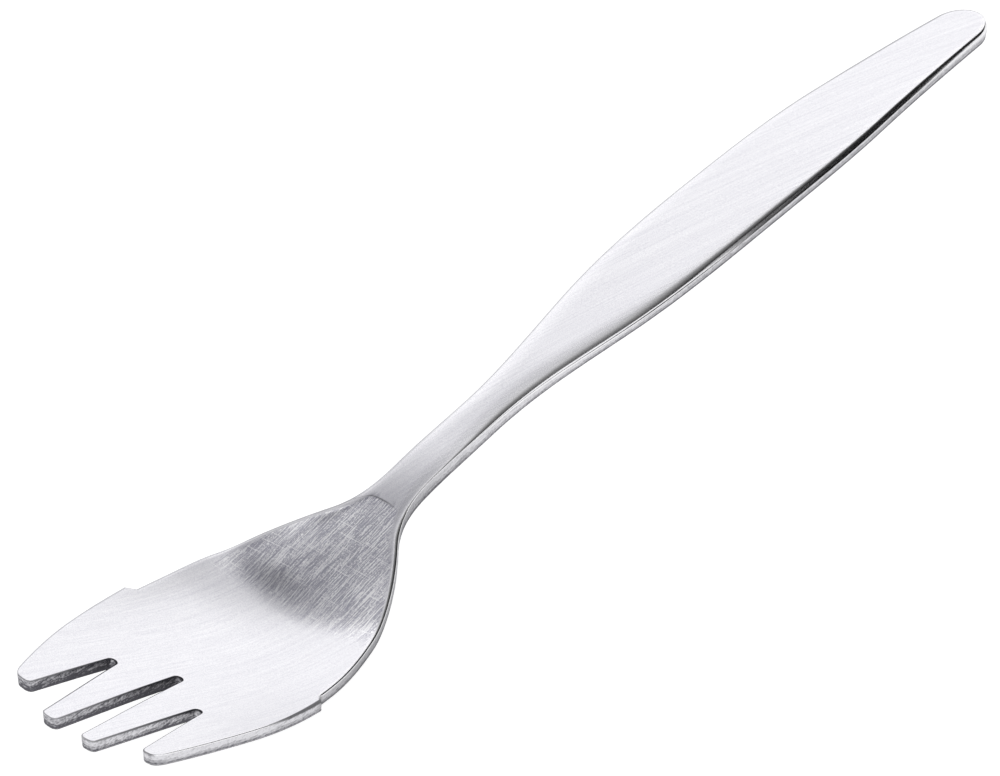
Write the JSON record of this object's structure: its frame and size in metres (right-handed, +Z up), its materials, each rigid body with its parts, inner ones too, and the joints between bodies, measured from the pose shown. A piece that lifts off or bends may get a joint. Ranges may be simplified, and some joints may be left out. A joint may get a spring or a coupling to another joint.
{
  "type": "seafood fork",
  "caption": "Small seafood fork stamped in one piece from satin stainless steel, with short pointed tines, a dished bowl, stepped shoulders, a narrow neck and a leaf-shaped handle.",
  "frame": {"origin": "centre of the fork's box, on the table that its belly and handle end rest on", "axes": "+X along the fork towards the handle end, +Y across it to the holder's right, +Z up out of the hollow of the bowl"},
  "size_m": [0.15, 0.0238, 0.0108],
  "materials": {
    "stainless_steel": "satin ground lengthwise on the handle and neck, coarser brush marks in the bowl, sheared edges left in the slots"
  },
  "bodies": {
    "root": {"handle": "stainless_steel", "neck": "stainless_steel", "bowl": "stainless_steel", "left_outer_tine": "stainless_steel", "left_inner_tine": "stainless_steel", "right_inner_tine": "stainless_steel", "right_outer_tine": "stainless_steel"}
  },
  "joints": []
}
